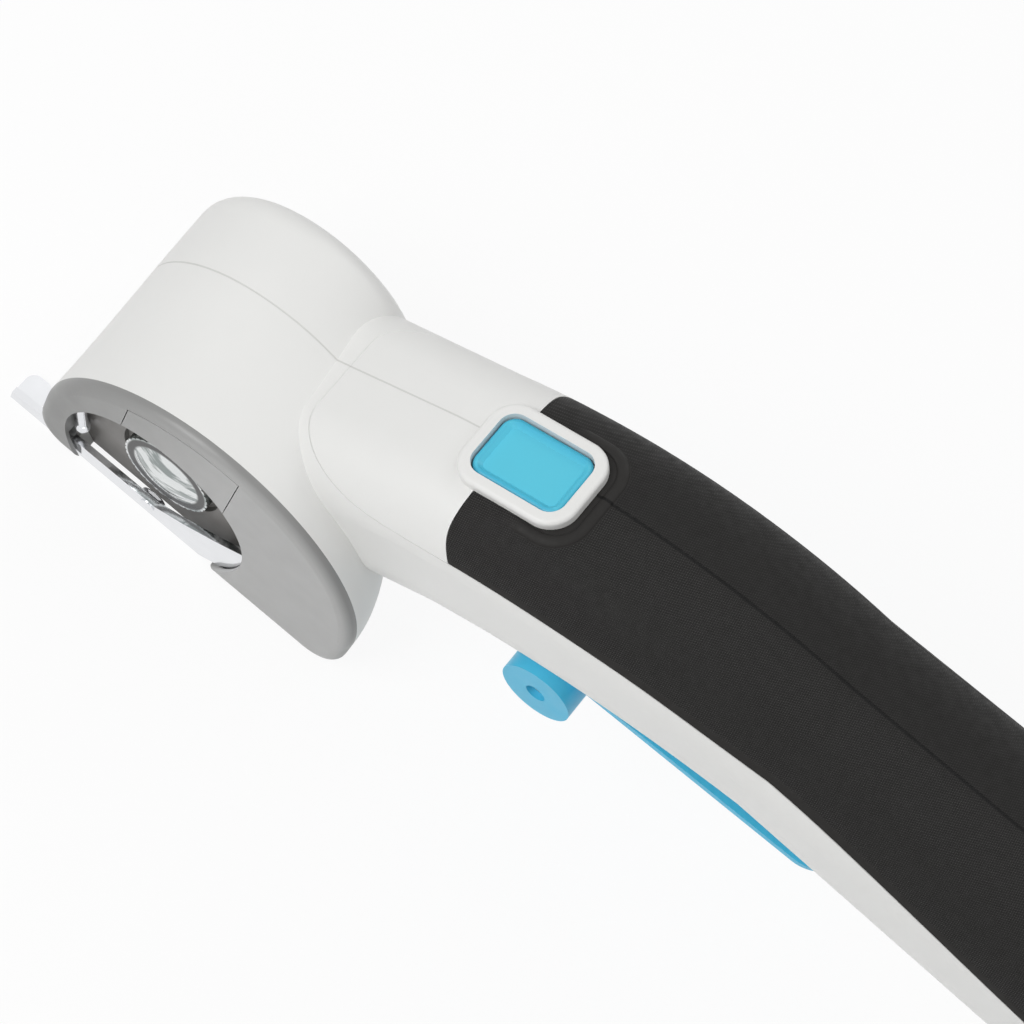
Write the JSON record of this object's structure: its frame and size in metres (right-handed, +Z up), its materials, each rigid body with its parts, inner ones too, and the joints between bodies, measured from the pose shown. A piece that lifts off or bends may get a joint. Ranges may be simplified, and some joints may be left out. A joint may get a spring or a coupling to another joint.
{
  "type": "electric can opener",
  "caption": "Hand-held electric can opener: a round drive head with a grey face plate, a bent neck with a press button, and a rubber-covered handle with a squeeze lever under it.",
  "frame": {"origin": "middle of the head's flat foot, just to the near side of the plane where the two body halves meet", "axes": "+X from the head towards the tail of the handle, +Y away from the face plate, +Z up to the button side"},
  "size_m": [0.2414, 0.0543, 0.092],
  "materials": {
    "white_shell": "satin",
    "grip_rubber": "matte",
    "blue_plastic": "satin",
    "grey_plate": "satin",
    "dark_liner": "matte",
    "polished_steel": "polished",
    "plain_steel": "satin",
    "gear_nylon": "satin",
    "bush_brass": "satin",
    "black_plastic": "satin",
    "cell_wrap": "gloss",
    "contact_nickel": "satin"
  },
  "bodies": {
    "body": {"housing_left": "white_shell", "housing_right": "white_shell", "neck_cover_left": "white_shell", "neck_cover_right": "white_shell", "button_bezel": "white_shell", "grip_left": "grip_rubber", "grip_right": "grip_rubber", "face_plate": "grey_plate", "plate_insert": "grey_plate", "recess_liner": "dark_liner", "guide_post": "polished_steel", "arm_pivot": "polished_steel", "second_gear_pin": "plain_steel", "first_gear_pin": "plain_steel", "frame_screws": "plain_steel", "motor_screws": "plain_steel", "lever_pin": "plain_steel", "door_pin": "plain_steel", "gear_frame": "plain_steel", "motor": "plain_steel", "front_bush": "bush_brass", "rear_bush": "bush_brass", "micro_switch": "black_plastic", "battery_tray": "black_plastic", "battery_cells": "cell_wrap", "battery_contacts": "contact_nickel"},
    "button": {"power_button": "blue_plastic"},
    "drive": {"drive_wheel": "polished_steel", "drive_shaft": "plain_steel", "output_gear": "gear_nylon"},
    "second": {"second_gear": "gear_nylon"},
    "first": {"first_gear": "gear_nylon"},
    "rotor": {"motor_pinion": "bush_brass", "motor_shaft": "plain_steel"},
    "lever": {"squeeze_lever": "blue_plastic"},
    "arm": {"cutter_arm": "polished_steel", "cutter_rivet": "polished_steel"},
    "cutter": {"cutter_wheel": "plain_steel"},
    "door": {"battery_door": "white_shell", "door_contact": "contact_nickel"}
  },
  "joints": [
    {"name": "button_press", "type": "slide", "parent": "body", "child": "button", "axis": [0.4067, 0, -0.9135], "range_m": [0, 0.0015], "stiffness_N_per_m": 800, "springref_m": -0.0005},
    {"name": "drive_spin", "type": "hinge", "parent": "body", "child": "drive", "pos_m": [-0.012, 0, 0.018], "axis": [0, 1, 0], "continuous": true},
    {"name": "second_spin", "type": "hinge", "parent": "body", "child": "second", "pos_m": [-0.00362, 0, 0.03376], "axis": [0, 1, 0], "continuous": true},
    {"name": "first_spin", "type": "hinge", "parent": "body", "child": "first", "pos_m": [0.01312, 0, 0.03522], "axis": [0, 1, 0], "continuous": true},
    {"name": "rotor_spin", "type": "hinge", "parent": "body", "child": "rotor", "pos_m": [0.02494, 0, 0.04446], "axis": [0, 1, 0], "continuous": true},
    {"name": "lever_squeeze", "type": "hinge", "parent": "body", "child": "lever", "pos_m": [0.0723, 0, 0.0422], "axis": [0, -1, 0], "range_deg": [0, 3.5], "stiffness_Nm_per_rad": 3, "springref_deg": -2.86},
    {"name": "arm_lift", "type": "hinge", "parent": "body", "child": "arm", "pos_m": [0.014, -0.029, 0.0135], "axis": [0, 1, 0], "range_deg": [0, 2.8]},
    {"name": "cutter_spin", "type": "hinge", "parent": "arm", "child": "cutter", "pos_m": [-0.012, -0.0277, 0.0032], "axis": [0, 1, 0], "continuous": true},
    {"name": "door_swing", "type": "hinge", "parent": "body", "child": "door", "pos_m": [0.18611, 0, 0.05685], "axis": [0, 1, 0], "range_deg": [0, 100]}
  ],
  "couplings": [
    {"joint": "second_spin", "follows": "drive_spin", "ratio": -2.5},
    {"joint": "first_spin", "follows": "drive_spin", "ratio": 7.5},
    {"joint": "rotor_spin", "follows": "drive_spin", "ratio": -30},
    {"joint": "arm_lift", "follows": "lever_squeeze", "ratio": 0.8}
  ]
}
